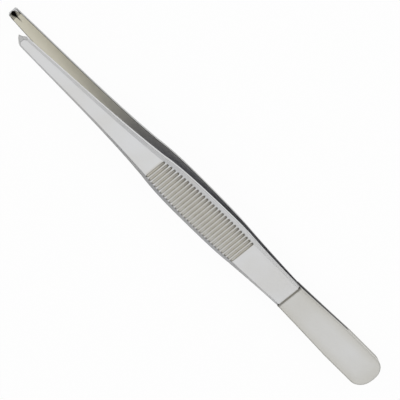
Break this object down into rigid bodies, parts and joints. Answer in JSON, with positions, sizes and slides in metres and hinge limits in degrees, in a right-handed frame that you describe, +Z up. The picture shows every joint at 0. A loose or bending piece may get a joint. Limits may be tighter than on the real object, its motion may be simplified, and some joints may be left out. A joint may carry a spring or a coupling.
{
  "type": "thumb forceps",
  "caption": "Thumb tissue forceps, 145 mm, one tooth against two, cross-grooved grips, satin stainless steel.",
  "frame": {"origin": "on the surface that the forceps lie on, below the middle of their bounding box", "axes": "+X towards the toothed tips, +Y across the blades, +Z up, away from the surface"},
  "size_m": [0.1452, 0.0096, 0.0166],
  "materials": {
    "steel": "satin"
  },
  "bodies": {
    "root": {"single_tooth_blade": "steel", "double_tooth_blade": "steel"}
  },
  "joints": []
}
